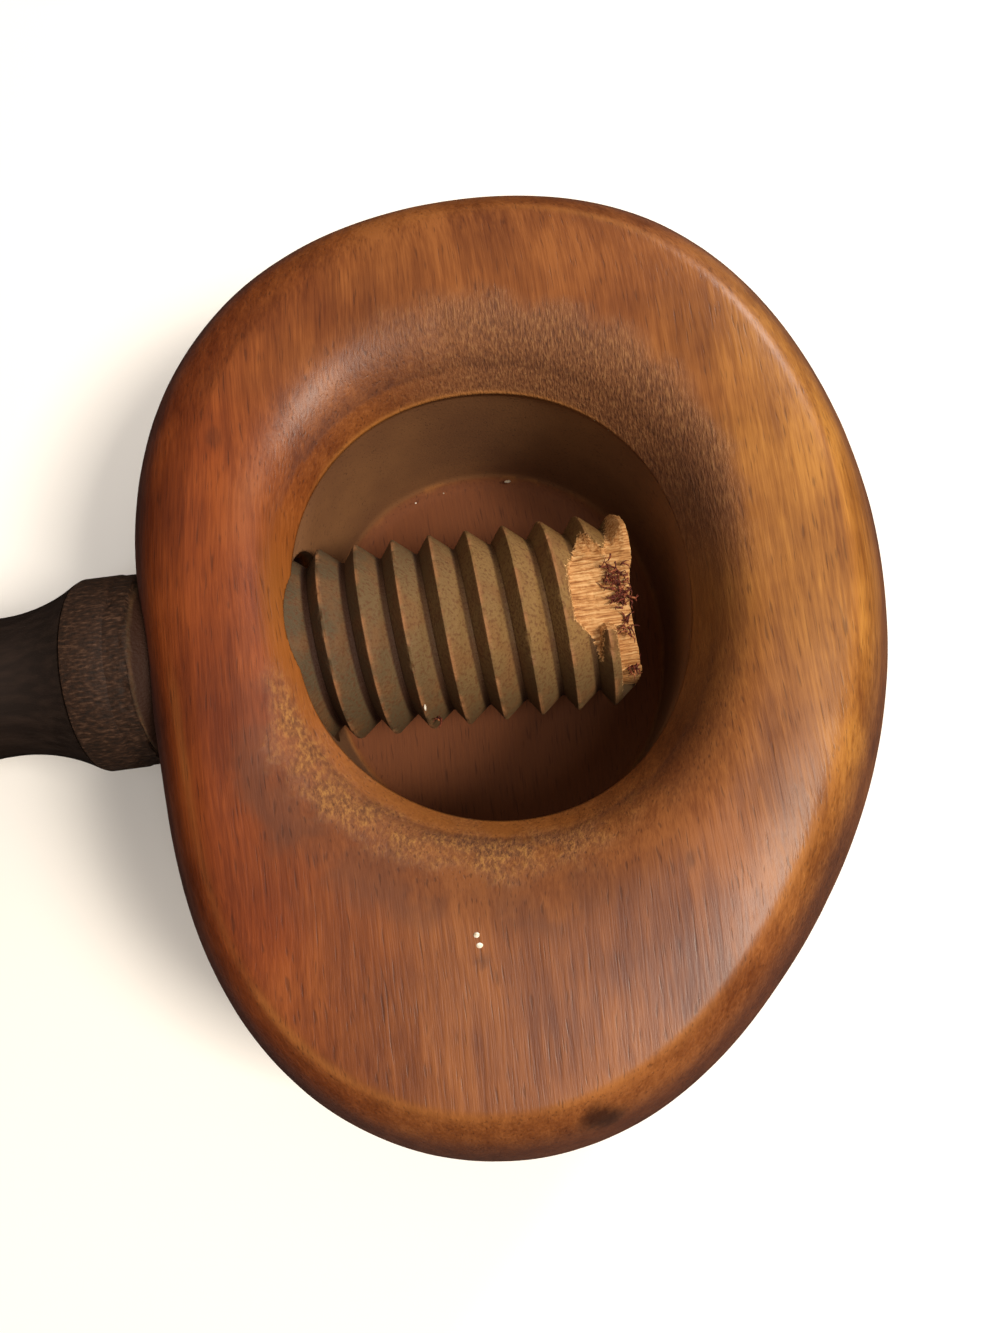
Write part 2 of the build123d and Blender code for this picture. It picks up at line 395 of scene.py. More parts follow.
def torn_splinter_wood(tree, place, looks):
    """Splinters of the same hardwood, soaked dark red-brown, with paler broken ends."""
    # tones change every 0.5 mm or so
    speckle = add(tree, "ShaderNodeTexNoise", {"Vector": place, "Scale": 2000.0, "Detail": 2.0})
    wood = add(tree, "ShaderNodeValToRGB", {"Fac": speckle}, stops=(
        (0.4, looks.crumb), (0.58, linear("#6A2C18")), (0.74, linear("#A86E44"))))
    return add(tree, "ShaderNodeBsdfPrincipled", {
        "Base Color": wood, "Roughness": 0.75, "IOR": 1.5, "Specular IOR Level": 0.3})


def nutshell_dust(tree, place):
    """Pale grit of ground nutshell, matt and a little uneven."""
    # tones change every 0.7 mm or so
    speckle = add(tree, "ShaderNodeTexNoise", {"Vector": place, "Scale": 1400.0, "Detail": 2.0})
    grit = add(tree, "ShaderNodeValToRGB", {"Fac": speckle}, stops=(
        (0.35, linear("#A8957A")), (0.6, linear("#F2ECDE"))))
    return add(tree, "ShaderNodeBsdfPrincipled", {
        "Base Color": grit, "Roughness": 0.85, "IOR": 1.5})


def studio_paper(tree, place, looks):
    """Smooth matt studio paper, with only a faint tooth about 2.5 mm across."""
    tooth = add(tree, "ShaderNodeTexNoise", {"Vector": place, "Scale": 400.0})
    bump = add(tree, "ShaderNodeBump", {"Height": tooth, "Distance": 0.0001, "Strength": 0.1})
    return add(tree, "ShaderNodeBsdfPrincipled", {
        "Base Color": looks.floor, "Roughness": 0.9, "Normal": bump})


# ---- block

AXIS_HEIGHT = 30.0
TOP = 47.0
FLOOR = 11.8
BASE_INSET = 12.0
FLOOR_ROUND = 2.4
# the sides are quarter ellipses that would turn level this far above and below the block
OVERRUN_ABOVE = 3.0
OVERRUN_BELOW = 2.5
# the underside's rounding, inwards and upwards
BASE_EASE = 1.2
BASE_RISE = 0.8
# reaches from the well's middle, one for every 30 degrees from +X
GIRTH = [51.4, 55.4, 61.1, 60.2, 58.7, 51.2, 44.7, 49.0, 60.5, 64.5, 57.0, 51.9]
BROW_INSET = [8.9, 9.9, 11.0, 10.1, 11.3, 9.5, 7.3, 7.9, 7.6, 8.3, 8.7, 8.9]
WELL = [24.7, 26.3, 27.8, 28.0, 27.6, 25.4, 23.5, 24.4, 25.3, 26.2, 26.3, 25.1]
# the lip is pared widest towards the near and far ends, and tightest by the screw's tip
LIP_WIDTH = [9.5, 11.0, 12.0, 13.0, 14.0, 14.0, 12.5, 13.5, 15.0, 15.0, 13.0, 10.5]
# the lip falls with this power of the way in
LIP_BEND = 3.24
# the screw's hole bites into the lip, whose foot stands higher there
LIP_FALL = [1.0, 1.0, 1.0, 1.0, 1.0, 0.9, 0.73, 0.82, 1.0, 1.0, 1.0, 1.0]
# the ledge under the lip slopes down by this much
LEDGE_FALL = 0.15
# how far back from the brow its rounding starts: crisp at the near end, rubbed at the far left
BROW_EASE = [1.2, 1.0, 1.0, 1.8, 3.0, 3.6, 3.2, 2.4, 1.2, 0.7, 0.9, 1.2]
# its share down the side, and the least flat between it and the lip
BROW_FALL = 0.61
BROW_FLAT = 1.5
# the top face's fall towards the brow, as a share of the crown
CROWN_SHARE = [1.0, 0.8, 0.7, 0.9, 1.2, 1.3, 1.1, 0.9, 0.7, 0.6, 0.9, 1.2]
# old stains: x, y, size, stretch along X and darkness
STAINS = [(4.6, -58.2, 2.0, 1.7, 1.0), (17.8, -33.3, 1.6, 0.6, 0.45),
          (-29.9, 22.8, 2.0, 0.7, 0.4), (-5.7, -40.9, 0.9, 1.0, 0.5)]
# an old dent in the lip's far side: x, y, half width, half length and depth
DENT = (-1.6, 33.4, 1.3, 2.2, 0.22)
# depths of the long and the short waves of the paring
WAVE_DEPTH = 0.22
RIPPLE_DEPTH = 0.07
AROUND = 420  # columns of the block's mesh
# the drill on the screw's axis: its ends, where its thread starts and stops, and its play
DRILL_ENDS = (-48, -18)
DRILL_THREAD = (-43.1, -28.5)
DRILL_GAP = 0.15


def side_inset(height, girth, edge):
    """How far the side has curved in at a height, as a share of its whole inset at the edge."""
    up = height >= girth
    rise = np.where(up, height - girth, girth - height)
    full = np.where(up, edge - girth, girth)
    curve = full + np.where(up, OVERRUN_ABOVE, OVERRUN_BELOW)
    return (1 - np.sqrt(1 - (rise / curve) ** 2)) / (1 - np.sqrt(1 - (full / curve) ** 2))


def eased_corner(before, corner, after, steps):
    """Rows of the soft curve that rounds a corner between two rows, the first row left out."""
    return [tuple((1 - t) ** 2 * a + 2 * t * (1 - t) * b + t * t * c
                  for a, b, c in zip(before, corner, after))
            for t in np.linspace(0, 1, steps + 1)[1:]]


def block_rows(looks, turns):
    """The block's section at every share of a turn, from the middle of the underside to the
    middle of the well's floor: a list of (reach, height) rows in millimetres."""
    girth_height, ledge = looks.girth_height / MM, looks.ledge / MM
    girth, inset, well, lip, ease, share, fall = (periodic_spline(values, turns) for values in (
        GIRTH, BROW_INSET, WELL, LIP_WIDTH, BROW_EASE, CROWN_SHARE, LIP_FALL))
    drop = looks.lip_drop / MM * fall
    ones = np.ones_like(girth)
    crown = looks.crown / MM * share
    edge = TOP - crown
    rim = girth - inset
    lip = np.minimum(lip, rim - ease - BROW_FLAT - well)
    apex = well + lip

    def side(height):
        reach = np.where(height >= girth_height, inset, BASE_INSET)
        return girth - reach * side_inset(height, girth_height, edge)

    def top(reach):
        outside = np.clip((reach - apex) / (rim - apex), 0, 1)
        inside = np.clip((apex - reach) / lip, 0, 1)
        return TOP - crown * outside ** 2 - drop * inside ** LIP_BEND

    # the underside and its rounded edge
    foot = side(0 * ones)
    rows = [((foot - BASE_EASE) * t, 0 * ones) for t in np.linspace(0, 1, 7)]
    rows += eased_corner(rows[-1], (foot, 0 * ones), (side(BASE_RISE * ones), BASE_RISE * ones), 4)
    # up the side to the girth, and on to where the brow's rounding starts
    rows += [(side(z * ones), z * ones) for z in np.linspace(BASE_RISE, girth_height, 19)[1:]]
    below = edge - BROW_FALL * ease
    for t in np.linspace(0, 1, 23)[1:]:
        height = girth_height + (below - girth_height) * t
        rows.append((side(height), height))
    # over the brow, across the flat, and down the lip, in finer rows towards its foot
    rows += eased_corner((side(below), below), (rim, edge), (rim - ease, top(rim - ease)), 8)
    for t in np.linspace(0, 1, 27)[1:]:
        reach = rim - ease + (apex - rim + ease) * t
        rows.append((reach, top(reach)))
    for t in np.linspace(0, 1, 37)[1:]:
        reach = apex - lip * (1 - (1 - t) ** 1.25)
        rows.append((reach, top(reach)))
    # the ledge, the wall, the rounding at its foot and the floor
    wall = well + ledge
    ledge_height = TOP - drop - LEDGE_FALL
    rows.append((wall, ledge_height * ones))
    for t in np.linspace(0, 1, 23)[1:]:
        rows.append((wall, (ledge_height * (1 - t) + (FLOOR + FLOOR_ROUND) * t) * ones))
    for turn in np.linspace(0, math.pi / 2, 8)[1:]:
        rows.append((wall - FLOOR_ROUND * (1 - math.cos(turn)),
                     (FLOOR + FLOOR_ROUND * (1 - math.sin(turn))) * ones))
    rows += [((wall - FLOOR_ROUND) * t, FLOOR * ones) for t in np.linspace(1, 0, 17)[1:]]
    return rows


class NUTCRACKER_OT_block(bpy.types.Operator):
    """Build the block: its pebble shape, the well with its rounded lip, and the tapped hole"""
    bl_idname = "nutcracker.block"
    bl_label = "Block"

    def execute(self, context):
        looks = context.scene.nutcracker_block
        screw = context.scene.nutcracker_screw
        steps = block_rows(looks, np.linspace(0, 1, AROUND + 1))
        rows = len(steps) - 1
        reach = np.array([r for r, _ in steps])
        height = np.array([z for _, z in steps])

        def place(u, v):
            i = np.rint(u * AROUND).astype(int)
            j = np.rint(v * rows).astype(int)
            turn = u * 2 * math.pi
            r = reach[j, i]
            points = np.stack([r * np.cos(turn), r * np.sin(turn), height[j, i]], 1) * MM
            return hand_shaped(points)

        shape = woven_grid(AROUND, rows, place)
        material = new_material(varnished_hardwood, looks)
        block = finished(shape, "block_wood", material, "bowl")
        drill = threaded_rod(screw, DRILL_ENDS, DRILL_THREAD, DRILL_GAP, around=160, per_turn=14)
        cutter = as_object(drill, "drill")
        bored = block.modifiers.new("bore", "BOOLEAN")
        bored.operation = "DIFFERENCE"
        bored.solver = "EXACT"
        bored.object = cutter
        context.view_layer.update()
        bored_block = block.evaluated_get(context.evaluated_depsgraph_get())
        mesh = bpy.data.meshes.new_from_object(bored_block)
        block.modifiers.clear()
        block.data = mesh
        mesh.name = "block_wood"
        bpy.data.objects.remove(cutter)
        paint(mesh, lambda points: block_masks(points / MM, looks))
        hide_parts("block")
        return {"FINISHED"}


def hand_shaped(points):
    """Leaves the shallow waves and dents of paring and scraping, always cut inwards."""
    wave = 0.5 + 0.5 * rippled(points, 22, 1.0, 2)
    ripple = 0.5 + 0.5 * rippled(points, 7, 5.0, 2)
    x, y, z = points.T / MM
    reach = np.hypot(x, y)
    on_top = smooth_step(TOP - 9.5, TOP - 7, z)
    dent_x, dent_y, wide, long, deep = DENT
    dent = np.exp(-((x - dent_x) / wide) ** 2 - ((y - dent_y) / long) ** 2)
    depth = WAVE_DEPTH * wave + RIPPLE_DEPTH * ripple + deep * dent
    outside = (1 - on_top) * (reach > 33) * smooth_step(0.2, 3, z)
    shrink = 1 - outside * depth / np.maximum(reach, 1)
    return np.stack([x * shrink, y * shrink, z - on_top * depth], 1) * MM


def sector(degrees, start, full, fade, end):
    """1 from full to fade, easing to 0 at start and end, in degrees round the well."""
    near = (degrees - start) % 360
    rising = smooth_step(0, (full - start) % 360, near)
    return rising * smooth_step((end - start) % 360, (fade - start) % 360, near)


def block_masks(points, looks):
    """How far each point of the block takes part in every zone of its material."""
    x, y, z = points.T
    reach = np.hypot(x, y)
    turn = (np.arctan2(y, x) / (2 * math.pi)) % 1
    degrees = turn * 360
    well, lip, girth, inset, ease, fall = (periodic_spline(values, turn) for values in (
        WELL, LIP_WIDTH, GIRTH, BROW_INSET, BROW_EASE, LIP_FALL))
    lip = np.minimum(lip, girth - inset - ease - BROW_FLAT - well)
    foot = TOP - looks.lip_drop / MM * fall
    inside = smooth_step(0.25, 0.5, foot - z) * smooth_step(1.4, 1.0, reach - well)
    on_floor = smooth_step(1.6, 0.5, z - FLOOR) * inside
    # 0 at the lip's outer end, 1 at its foot
    down = np.clip((well + lip - reach) / lip, 0, 1) * (1 - inside)
    ripple = rippled(points * MM, 5, 3.0, 4)
    broad = rippled(points * MM, 16, 8.0, 3)
    ragged = down + 0.12 * ripple + 0.08 * broad
    # the scraped band is patchy, and stops short of the mouth's edge
    patchy = 0.45 + 0.55 * smooth_step(-0.35, 0.3, rippled(points * MM, 3.5, 11.0, 3))
    worn = sector(degrees, 188, 205, 262, 318) * smooth_step(0.5, 0.66, ragged) * patchy
    worn = worn * (0.25 + 0.75 * smooth_step(0.92, 0.8, down + 0.03 * ripple))
    bare = sector(degrees, 140, 175, 262, 300) * smooth_step(0.6, 0.85, down)
    # above it the lip is darker, in patches
    dusk = sector(degrees, 190, 214, 270, 315) * (0.6 + 0.4 * smooth_step(-0.3, 0.3, ripple))
    dusk = dusk * smooth_step(0.05, 0.35, ragged) * smooth_step(0.7, 0.54, ragged)
    # on the end grain the fibres stand up; the right lies in shade
    fuzz = sector(degrees, 345, 25, 80, 120) * smooth_step(0.14, 0.5, ragged)
    shade = sector(degrees, 290, 325, 20, 45) * smooth_step(0.3, 0.8, down)
    # a light line runs along the mouth's far edge, partly painted highlight and partly worn wood
    edge = np.exp(-((z - foot) / 0.35) ** 2) * smooth_step(1.0, 0.3, np.abs(reach - well))
    edge = edge * sector(degrees, 35, 65, 115, 150)
    # a light line runs along the brow, partly wood rubbed lighter by hands and partly painted
    # highlight
    brow = np.exp(-((reach - girth + inset) / 0.6) ** 2) * smooth_step(TOP - 4, TOP - 3, z)
    brow = brow * sector(degrees, 170, 215, 60, 110)
    edge = np.maximum(edge, brow * (0.2 + 0.4 * smooth_step(-0.3, 0.4, broad)))
    # dust gathers where the wall meets the floor
    dust = np.exp(-((z - FLOOR - 1.3) / 0.5) ** 2) * smooth_step(0.1, 0.5, ripple) * inside
    edge = np.maximum(edge, 0.5 * dust)
    side = smooth_step(TOP - 2.2, TOP - 7, z) * (reach > well + 2)
    stain = 0
    for at_x, at_y, size, stretch, depth in STAINS:
        away = np.hypot((x - at_x) / stretch, y - at_y) + 0.5 * ripple
        stain = stain + depth * smooth_step(size, 0.4 * size, away)
    red = smooth_step(-8, -36, x + 6 * broad)
    gold = smooth_step(12, 40, x - 0.25 * np.abs(y) + 5 * broad)
    return dict(zip(BLOCK_MASKS, (
        red, gold, dusk, bare * (1 - worn), worn, fuzz, shade, edge, side,
        inside * (1 - on_floor), on_floor, stain * (1 - inside))))


# ---- screw

# the thread's flats on crest and root, the tip-side flank's share, and the least flat that
# the grown drill keeps at its root
CREST_FLAT = 0.3
TIP_FLANK_SHARE = 0.63
LEAST_ROOT_FLAT = 0.12
# shares of a turn's rows on handle-side flank, crest and tip-side flank; the root has the rest
ROW_SHARES = (0.33, 0.12, 0.43)
# a plain stretch lies this far under the crests
PLAIN_STEP = 0.1
# past its ends a rod closes onto the axis over this share of a pitch
CLOSING = 0.6
# the screw on its axis: the rod's ends, and where its thread starts and stops
SCREW_ENDS = (-49.5, 17.0)
SCREW_THREAD = (-43.3, 30)
# the collar's profile: how far from its outer face, and the radius there
COLLAR = [(0, 0), (0, 11.9), (0.25, 12.4), (0.6, 12.55), (5.1, 12.55), (5.5, 12.35),
          (5.7, 11.9), (5.7, 0)]


def thread_section(looks, gap, per_turn):
    """Radius and place along the axis for one pitch, from root to root, its crest at 0."""
    crest, depth = looks.crest_radius / MM, looks.thread_depth / MM
    pitch = looks.pitch / MM
    room = pitch - 2 * CREST_FLAT
    ahead, behind = room * TIP_FLANK_SHARE, room * (1 - TIP_FLANK_SHARE)
    widen_ahead = gap * math.hypot(ahead / depth, 1)
    widen_behind = gap * math.hypot(behind / depth, 1)
    wide = CREST_FLAT + widen_ahead + widen_behind
    low = max(LEAST_ROOT_FLAT, pitch - wide - room)
    share = (pitch - wide - low) / room
    left, right = CREST_FLAT / 2 + widen_behind, CREST_FLAT / 2 + widen_ahead
    corners = [(-left - behind * share, crest + gap - depth * share), (-left, crest + gap),
               (right, crest + gap), (right + ahead * share, crest + gap - depth * share)]
    start = corners[0][0]
    counts = [round(per_turn * s) for s in ROW_SHARES]
    counts.append(per_turn - sum(counts))
    ends = corners[1:] + [(start + pitch, corners[0][1])]
    points = []
    at = corners[0]
    for end, count in zip(ends, counts):
        for k in range(count):
            t = k / count
            points.append((at[0] + (end[0] - at[0]) * t, at[1] + (end[1] - at[1]) * t))
        at = end
    return np.array(points)


def threaded_rod(looks, ends, threaded, gap, around, per_turn, shaped=None):
    """A rod between two ends on the screw's axis, with a right-hand thread from one place to
    another and plain before and after it.

    The grid follows the helix, so crests stay sharp; past each end it closes onto the axis."""
    start, end = ends
    pitch, crest_at = looks.pitch / MM, looks.crest_position / MM
    section = thread_section(looks, gap, per_turn)
    first = math.floor((start - crest_at) / pitch) - 2
    last = math.ceil((end - crest_at) / pitch) + 2
    rows = (last - first) * per_turn

    def place(u, v):
        row = np.rint(v * rows).astype(int)
        along = crest_at + (first + row // per_turn + u) * pitch + section[row % per_turn, 0]
        cut = (along > threaded[0]) & (along < threaded[1])
        plain = looks.crest_radius / MM - PLAIN_STEP + gap
        radius = np.where(cut, section[row % per_turn, 1], plain)
        turn = u * 2 * math.pi
        before = np.clip((start - along) / (CLOSING * pitch), 0, 1)
        x = np.maximum(along, start)
        if shaped:
            x, radius = shaped(x, turn, radius)
        else:
            past = np.clip((x - end) / (CLOSING * pitch), 0, 1)
            x = np.minimum(x, end)
            radius = radius * (1 - past)
        radius = radius * (1 - before)
        points = [x, radius * np.cos(turn), AXIS_HEIGHT + radius * np.sin(turn)]
        return np.stack(points, 1) * MM

    return woven_grid(around, rows, place)


# the break seen from above, where skin and thread are torn off: (x, y) from the well's middle
BREAK = [(12.2, 7.8), (11.1, 5.2), (10.0, 3.1), (9.85, 0.6), (10.0, -3.7), (11.1, -4.8),
         (12.0, -5.7), (12.4, -7.1), (12.9, -8.4), (13.1, -5.3), (14.8, -5.5), (14.9, -7.3),
         (15.3, -10.2), (15.6, -13), (20, -13), (20, 13), (16.6, 13), (16.4, 10.8), (16.0, 9.5),
         (15.5, 7), (14.7, 4.9)]
# the broken end stands level on the underside; above, it is uneven: its place at each y
END_LEVEL = 17.4
END_AT = [17.2, 18.0, 17.6, 17.3, 17.1, 16.9, 17.5, 18.2, 18.3, 17.9, 17.2]
END_ACROSS = [-12, -10.3, -8.5, -6.4, -4.6, -2.5, 1.8, 4.4, 7, 10.2, 11.3]
# rows up to this far past the end are drawn in to make its face
END_ROWS = 2.4
# nicks in the crest, and how much higher the raw wood stands on the far side
NICK_DEPTH = 0.5
RAW_RISE = 1.9


def inside_by(x, y, outline):
    """How far each point lies inside a closed outline, in millimetres; outside it is negative."""
    near = np.full(x.shape, np.inf)
    inside = np.zeros(x.shape, bool)
    for (ax, ay), (bx, by) in zip(outline, outline[1:] + outline[:1]):
        run_x, run_y = bx - ax, by - ay
        share = np.clip(((x - ax) * run_x + (y - ay) * run_y) / (run_x ** 2 + run_y ** 2), 0, 1)
        near = np.minimum(near, np.hypot(x - ax - share * run_x, y - ay - share * run_y))
        if run_y:
            inside ^= ((ay > y) != (by > y)) & (x < ax + (y - ay) * run_x / run_y)
    return np.where(inside, near, -near)


def torn_by(x, y, up):
    """How far inside the break each point of the screw lies; the underside is whole."""
    return np.where(up > 0, inside_by(x, y, BREAK), -2.0)


def broken_end(y, up):
    """Where the broken end stands, level on the underside and uneven above."""
    uneven = np.interp(y, END_ACROSS, END_AT) - END_LEVEL
    return END_LEVEL + uneven * smooth_step(-0.2, 0.3, up)


class NUTCRACKER_OT_screw(bpy.types.Operator):
    """Build the screw: collar, worn thread and the torn tip with its raw wood"""
    bl_idname = "nutcracker.screw"
    bl_label = "Screw"

    def execute(self, context):
        looks = context.scene.nutcracker_screw
        crest, torn_radius = looks.crest_radius / MM, looks.torn_radius / MM

        def worn_and_torn(x, turn, radius):
            up = np.sin(turn)
            y = radius * np.cos(turn)
            points = np.stack([x, y, radius * up], 1) * MM
            nicks = np.clip(rippled(points, 1.6, 2.0, 2) - 0.25, 0, 1)
            radius = radius - NICK_DEPTH * nicks * smooth_step(crest - 0.5, crest, radius)
            rough = rippled(points * np.array([0.35, 1, 1]), 1.1, 4.0, 2)
            cut = smooth_step(-0.1, 0.15, torn_by(x, y, up))
            raw = torn_radius + RAW_RISE * smooth_step(5.5, 8.5, y) + 0.13 * rough
            radius = radius - cut * (radius - np.minimum(radius - 0.12, raw))
            end = broken_end(y, up)
            past = np.clip((x - end) / END_ROWS, 0, 1)
            inner = radius * (1 - past)
            face = broken_end(inner * np.cos(turn), up) + 0.35 * rough * np.sin(math.pi * past)
            return np.where(x > end, face, x), inner

        shape = threaded_rod(looks, SCREW_ENDS, SCREW_THREAD, 0, around=256, per_turn=24,
                             shaped=worn_and_torn)
        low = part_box("screw")[0].x / MM
        ring = [shape.verts.new(((low + along) * MM, 0, (AXIS_HEIGHT + radius) * MM))
                for along, radius in COLLAR]
        edges = [shape.edges.new(pair) for pair in zip(ring, ring[1:])]
        bmesh.ops.spin(shape, geom=ring + edges, cent=(0, 0, AXIS_HEIGHT * MM), axis=(1, 0, 0),
                       angle=2 * math.pi, steps=160, use_merge=True)
        bmesh.ops.remove_doubles(shape, verts=shape.verts, dist=0.001 * MM)
        bmesh.ops.recalc_face_normals(shape, faces=shape.faces)
        material = new_material(handled_screw_wood, looks)
        screw = finished(shape, "screw_wood", material, "turning",
                         lambda points: screw_masks(points / MM, looks))
        screw.data.set_sharp_from_angle(angle=math.radians(34))
        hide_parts("screw")
        return {"FINISHED"}


# painted shadow: the thread at the hole's mouth is painted black, for the shadow it lies in by the
# block, between these places on the axis
HOLE_SHADOW = (-43.2, -38.0)
# a small black pit on the first flank that shows: x and y
PIT = (-20.0, 4.0)
# the collar's dirt runs on over the first threads, this far from its outer face
COLLAR_DIRT = 8.4


def screw_masks(points, looks):
    """How far each point of the screw takes part in every zone of its material."""
    x, y, z = points.T
    z = z - AXIS_HEIGHT
    radius = np.maximum(np.hypot(y, z), 0.01)
    crest, pitch = looks.crest_radius / MM, looks.pitch / MM
    collar = smooth_step(0.3, -0.3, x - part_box("screw")[0].x / MM - COLLAR_DIRT)
    # the place in the pitch: 0 on the crest, then tip-side flank, root and handle-side flank
    turned = np.arctan2(z, y) / (2 * math.pi)
    place = (x - looks.crest_position / MM - turned * pitch) % pitch
    torn = torn_by(x, y, z / radius)
    end_face = (x > broken_end(y, z / radius) - 0.06) & (radius < crest - 0.1)
    torn = np.where(end_face, 1.0, np.clip(torn, -1, 1))
    # painted shade: the root is painted near black for the shadow the next crest casts into it, and
    # the handle-side flank half dark for the shade it lies in, away from the key light
    root = smooth_step(2.3, 2.45, place) * smooth_step(3.4, 3.1, place)
    behind = smooth_step(2.3, 2.5, place) * smooth_step(4.72, 4.55, place)
    groove = np.maximum(0.52 * behind, 0.97 * root)
    hole_shadow = smooth_step(HOLE_SHADOW[0], HOLE_SHADOW[0] + 0.5, x) * smooth_step(HOLE_SHADOW[1], HOLE_SHADOW[1] - 1.5, x)
    line = smooth_step(0.24, 0.06, np.minimum(place, pitch - place))
    line = line * smooth_step(crest - 0.5, crest - 0.2, radius)
    # hands keep the thread cleaner towards the tip and on its far side
    clean = smooth_step(-24, 9, x + 4 * rippled(points * MM, 9, 6.0, 2))
    clean = clean * (0.35 + 0.65 * smooth_step(-12, -4, y))
    pit = smooth_step(0.4, 0.2, np.hypot(x - PIT[0], y - PIT[1])) * (z > 0)
    # the painted shade is lighter where the thread is cleaner; the painted shadow at the hole's
    # mouth and the pit are laid over it
    groove = np.maximum(groove * (1 - 0.35 * clean), np.maximum(hole_shadow, pit))
    return dict(zip(SCREW_MASKS, (
        torn, clean, groove * (1 - collar), line * (1 - np.maximum(collar, hole_shadow)), collar)))


# clusters of splinters in the break: x, y, height over the axis, reach in x and y, and count
SPLINTERS = [(15.4, 0.6, 10.5, 1.4, 2.6, 46), (16.2, -1.5, 10.3, 1.0, 1.6, 30),
             (16.2, -4.6, 9.3, 0.4, 1.7, 16), (16.8, -9.0, 4.9, 0.9, 1.0, 14),
             (-7.9, -12.1, 2.4, 0.4, 0.3, 3)]
# a splinter is a curled chain of cones: each one's share of its full thickness, and the taper
CURL = (1.0, 0.75, 0.5)
TAPER = 0.25


class NUTCRACKER_OT_splinters(bpy.types.Operator):
    """Scatter the dark curled splinters that hang in the break"""
    bl_idname = "nutcracker.splinters"
    bl_label = "Splinters"

    def execute(self, context):
        draw = random.Random(7)
        shape = bmesh.new()
        for x, y, height, reach_x, reach_y, count in SPLINTERS:
            for _ in range(count):
                # they rest on the raw wood, which falls away to the sides
                joint = Vector((x + draw.gauss(0, 0.5) * reach_x, y + draw.gauss(0, 0.5) * reach_y,
                                AXIS_HEIGHT + height + draw.uniform(-0.1, 0.4)))
                heading = Vector((
                    draw.uniform(-1, 1), draw.uniform(-1, 1), draw.uniform(-0.2, 0.4))).normalized()
                thick = draw.uniform(0.09, 0.2)
                for share in CURL:
                    length = draw.uniform(0.3, 0.6)
                    # each cone runs a little into the next
                    made = bmesh.ops.create_cone(
                        shape, cap_ends=True, segments=5, radius1=thick * share * MM,
                        radius2=thick * (share - TAPER) * MM, depth=1.15 * length * MM)["verts"]
                    middle = Matrix.Translation((joint + heading * length / 2) * MM)
                    turn = heading.to_track_quat("Z", "Y").to_matrix().to_4x4()
                    bmesh.ops.transform(shape, matrix=middle @ turn, verts=made)
                    joint = joint + heading * length
                    bend = Vector((
                        draw.uniform(-1, 1), draw.uniform(-1, 1), draw.uniform(-0.3, 0.3)))
                    heading = (heading + 0.9 * bend).normalized()
        bmesh.ops.recalc_face_normals(shape, faces=shape.faces)
        material = new_material(torn_splinter_wood, context.scene.nutcracker_screw)
        finished(shape, "tip_splinters", material, "turning")
        return {"FINISHED"}


# grit: piece, body, slot, and for each grain x, y, z and half sizes
GRIT = {
    ("well_grit", "bowl", "block_wood"): [
        (5.5, 26.6, 13.6, 0.5, 0.2, 0.25), (-4.4, 26.2, 13.2, 0.13, 0.1, 0.12),
        (-8.8, 25.1, 13.4, 0.16, 0.1, 0.12), (-5.9, -38.1, 46.82, 0.34, 0.3, 0.12),
        (-5.7, -39.2, 46.8, 0.4, 0.32, 0.12)],
    ("thread_grit", "turning", "screw_wood"): [
        (-9.3, -11.0, 36.2, 0.16, 0.42, 0.5), (1.2, -1.4, 40.6, 0.12, 0.1, 0.1)],
}


class NUTCRACKER_OT_grit(bpy.types.Operator):
    """Leave the few pale grains of nutshell in the well, on the top and on the thread"""
    bl_idname = "nutcracker.grit"
    bl_label = "Grit"

    def execute(self, context):
        material = new_material(nutshell_dust)
        for (name, body, slot), grains in GRIT.items():
            shape = bmesh.new()
            for x, y, z, *sizes in grains:
                made = bmesh.ops.create_icosphere(shape, subdivisions=2, radius=MM)["verts"]
                bmesh.ops.scale(shape, vec=sizes, verts=made)
                bmesh.ops.translate(shape, vec=(x * MM, y * MM, z * MM), verts=made)
            finished(shape, name, material, body)
        return {"FINISHED"}


# ---- handle and tenon

class NUTCRACKER_OT_handle(bpy.types.Operator):
    """Finish the handle in its dark stain"""
    bl_idname = "nutcracker.handle"
    bl_label = "Handle"

    def execute(self, context):
        looks = context.scene.nutcracker_handle
        for node, draw in (("handle", stained_handle_wood), ("tenon", bare_dowel_wood)):
            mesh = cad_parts[node].data
            mesh.materials.clear()
            mesh.materials.append(new_material(draw, looks))
        return {"FINISHED"}


# ---- stage

# the lights look at the well's mouth from this far, in metres
MOUTH = Vector((0, 0, 0.04))
LIGHT_DISTANCE = 1.2
# the photograph's camera: its place in metres, two directions, and lens on a 36 mm frame
CAMERA_PLACE = (-0.0008, -0.0346, 0.1562)
CAMERA_RIGHT = (0.9914, -0.1286, -0.0195)
CAMERA_AHEAD = (0.0099, 0.2231, -0.9747)
CAMERA_LENS = 27.03
# how bright the plain studio wall behind the object looks to the camera
WALL_STRENGTH = 0.75


def soft_light(name, azimuth, elevation, size, power, colour):
    """A square soft light that looks at the well's mouth."""
    light = bpy.data.lights.new(name, "AREA")
    light.shape = "SQUARE"
    light.size = size
    light.energy = power
    light.color = linear(colour)[:3]
    lamp = bpy.data.objects.new(name, light)
    bpy.context.scene.collection.objects.link(lamp)
    a, e = math.radians(azimuth), math.radians(elevation)
    towards = Vector((math.cos(e) * math.cos(a), math.cos(e) * math.sin(a), math.sin(e)))
    lamp.location = MOUTH + towards * LIGHT_DISTANCE
    lamp.rotation_euler = towards.to_track_quat("Z", "Y").to_euler()


